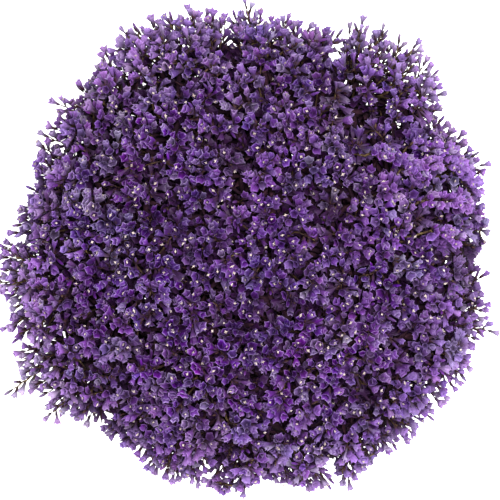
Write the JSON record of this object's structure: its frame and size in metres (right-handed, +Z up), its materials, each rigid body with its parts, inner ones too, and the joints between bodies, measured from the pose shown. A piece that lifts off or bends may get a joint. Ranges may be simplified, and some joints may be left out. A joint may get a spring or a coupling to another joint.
{
  "type": "dried statice bunch",
  "caption": "Short-cut tied bunch of dried statice: a dense dome of papery violet calyces on stiff stems that spiral through a twine tie and stand on splayed cut ends.",
  "frame": {"origin": "middle of the bunch's outline on the plane that the cut stem ends stand on", "axes": "+Z up through the crown of the dome; seen from straight above, +X is to the right and +Y to the top"},
  "size_m": [0.3156, 0.3016, 0.2121],
  "materials": {
    "calyx": "dry, papery, matt violet with paler edges",
    "stem": "dry, matt olive brown with fine ridges",
    "twine": "rough natural jute"
  },
  "bodies": {
    "root": {"flower_head_01": "calyx", "flower_head_02": "calyx", "flower_head_03": "calyx", "flower_head_04": "calyx", "flower_head_05": "calyx", "flower_head_06": "calyx", "flower_head_07": "calyx", "flower_head_08": "calyx", "flower_head_09": "calyx", "flower_head_10": "calyx", "flower_head_11": "calyx", "flower_head_12": "calyx", "flower_head_13": "calyx", "flower_head_14": "calyx", "flower_head_15": "calyx", "flower_head_16": "calyx", "flower_head_17": "calyx", "flower_head_18": "calyx", "flower_head_19": "calyx", "stem_01": "stem", "stem_02": "stem", "stem_03": "stem", "stem_04": "stem", "stem_05": "stem", "stem_06": "stem", "stem_07": "stem", "stem_08": "stem", "stem_09": "stem", "stem_10": "stem", "stem_11": "stem", "stem_12": "stem", "stem_13": "stem", "stem_14": "stem", "stem_15": "stem", "stem_16": "stem", "stem_17": "stem", "stem_18": "stem", "stem_19": "stem", "twine_tie": "twine"}
  },
  "joints": []
}
